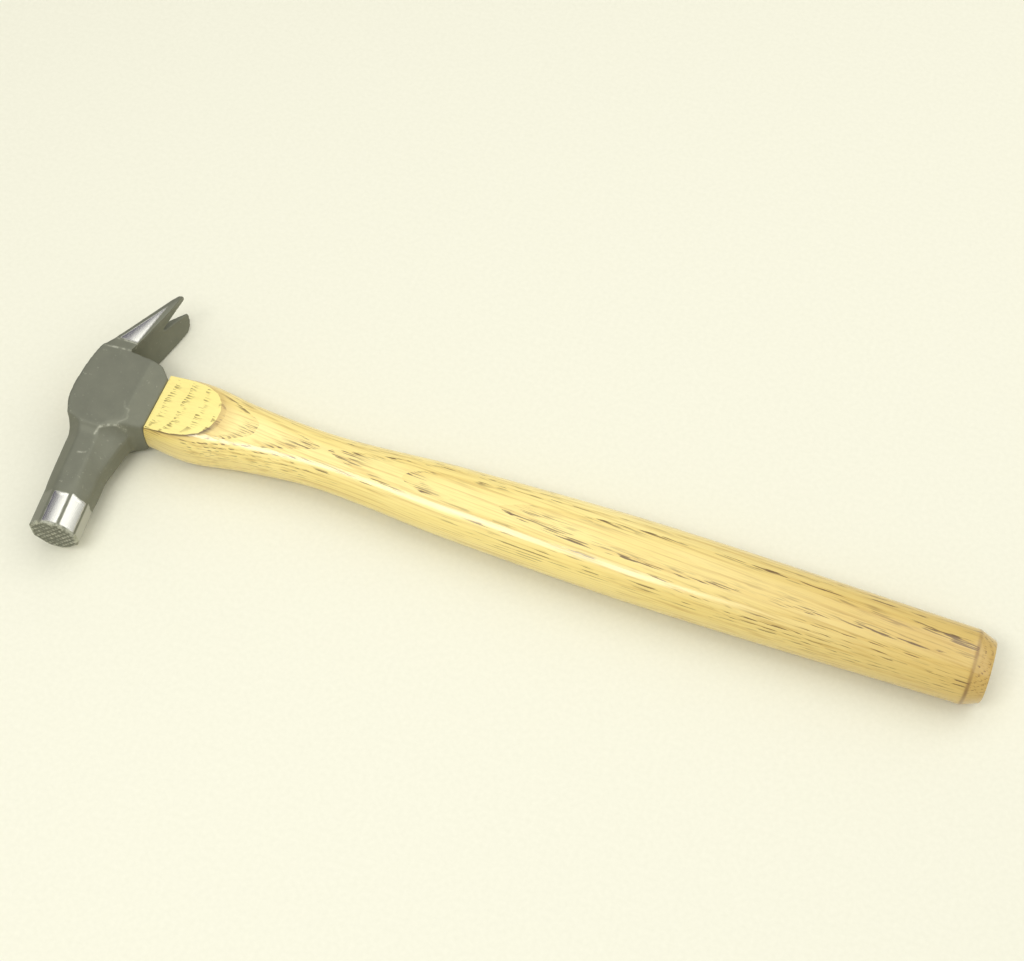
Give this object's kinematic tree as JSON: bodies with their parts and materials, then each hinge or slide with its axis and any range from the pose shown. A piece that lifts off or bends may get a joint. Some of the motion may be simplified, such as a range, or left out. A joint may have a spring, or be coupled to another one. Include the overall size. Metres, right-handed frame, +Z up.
{
  "type": "driving hammer",
  "caption": "Light driving hammer with a short notched claw, an octagonal poll with a checkered striking face, and a lacquered wooden handle wedged into its eye.",
  "frame": {"origin": "on the ground under the middle of the hammer's box, as it lies on its lower cheek", "axes": "+X along the handle from the head to the butt, +Y along the head from the striking face to the claw, +Z up across the cheeks"},
  "size_m": [0.3292, 0.103, 0.022],
  "materials": {
    "forged_steel": "forged and shot-blasted matte grey, ground bright at the end of the poll and on the claw's sides",
    "lacquered_wood": "pale ring-porous hardwood under clear gloss lacquer, bare on the side flats",
    "wedge_wood": "bare sawn hardwood",
    "wedge_steel": "bare rolled steel"
  },
  "bodies": {
    "root": {"hammer_head": "forged_steel", "handle": "lacquered_wood", "wooden_wedge": "wedge_wood", "steel_wedge": "wedge_steel"}
  },
  "joints": []
}
